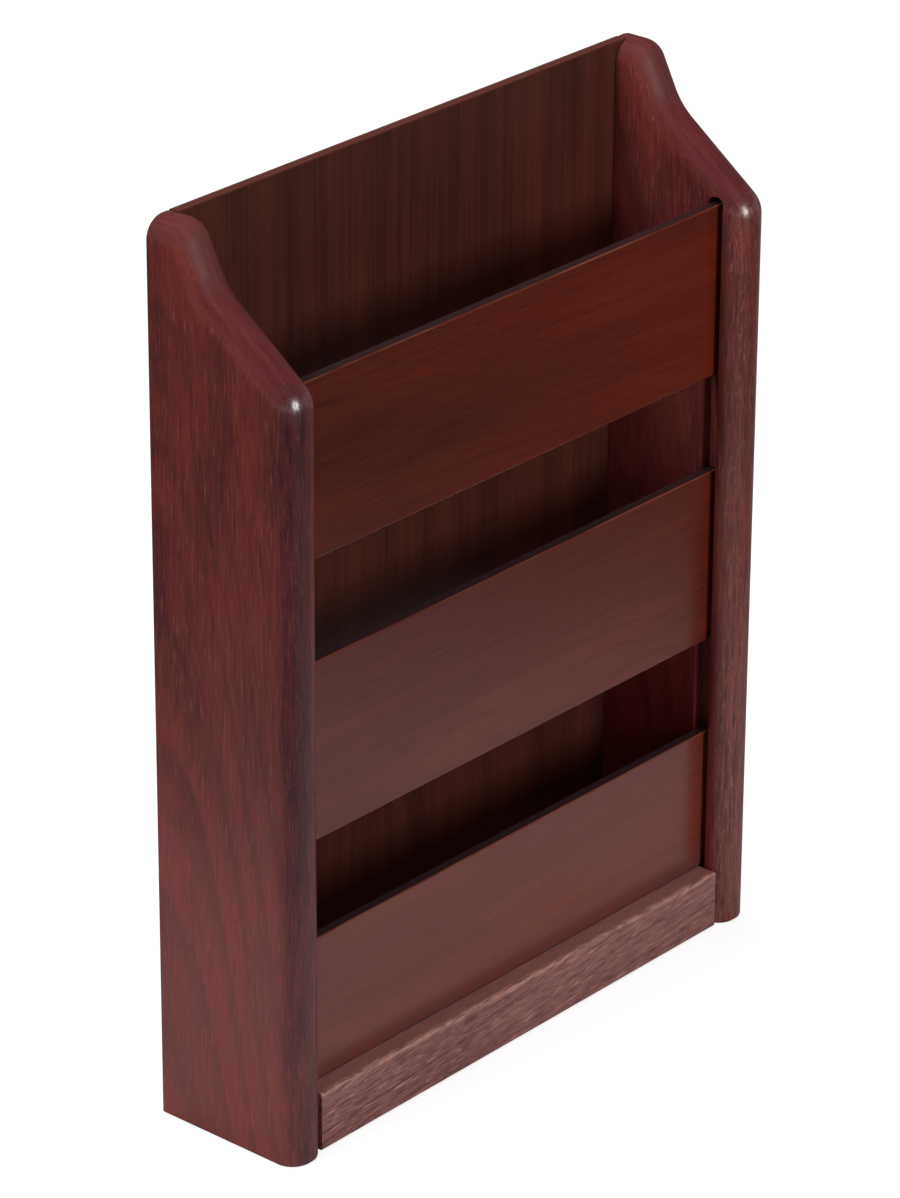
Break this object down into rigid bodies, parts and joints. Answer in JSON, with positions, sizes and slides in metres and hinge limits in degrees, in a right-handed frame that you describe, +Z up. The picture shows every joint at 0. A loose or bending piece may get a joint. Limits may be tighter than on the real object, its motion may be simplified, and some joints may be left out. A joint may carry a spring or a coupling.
{
  "type": "wall mounted magazine rack",
  "caption": "Wall mounted wooden magazine rack with shaped sides, wide front slats with finger gaps, a thin back and a thick bottom shelf.",
  "frame": {"origin": "middle of the back panel's rear face, on the wall plane", "axes": "+Z up, +Y towards the wall, -Y out of the front, +X to the right seen from the front"},
  "size_m": [0.305, 0.0755, 0.404],
  "materials": {
    "side_oak": "mahogany-stained open-grain oak, satin lacquer",
    "shelf_oak": "mahogany-stained open-grain oak, satin lacquer",
    "back_plywood": "stained plywood, satin lacquer",
    "top_slat_veneer": "mahogany veneer, gloss lacquer",
    "middle_slat_veneer": "mahogany veneer, gloss lacquer",
    "bottom_slat_veneer": "mahogany veneer, gloss lacquer",
    "dowel_beech": "bare beech",
    "brad_steel": "bright wire",
    "hanger_steel": "zinc plated",
    "screw_steel": "zinc plated"
  },
  "bodies": {
    "root": {"left_side_panel": "side_oak", "right_side_panel": "side_oak", "shelf_board": "shelf_oak", "back_panel": "back_plywood", "top_slat": "top_slat_veneer", "middle_slat": "middle_slat_veneer", "bottom_slat": "bottom_slat_veneer", "left_dowel_1": "dowel_beech", "left_dowel_2": "dowel_beech", "right_dowel_1": "dowel_beech", "right_dowel_2": "dowel_beech", "left_brad_1": "brad_steel", "left_brad_2": "brad_steel", "left_brad_3": "brad_steel", "left_brad_4": "brad_steel", "right_brad_1": "brad_steel", "right_brad_2": "brad_steel", "right_brad_3": "brad_steel", "right_brad_4": "brad_steel", "shelf_brad_1": "brad_steel", "shelf_brad_2": "brad_steel", "left_hanger_plate": "hanger_steel", "right_hanger_plate": "hanger_steel", "left_hanger_screw_1": "screw_steel", "left_hanger_screw_2": "screw_steel", "right_hanger_screw_1": "screw_steel", "right_hanger_screw_2": "screw_steel"}
  },
  "joints": []
}
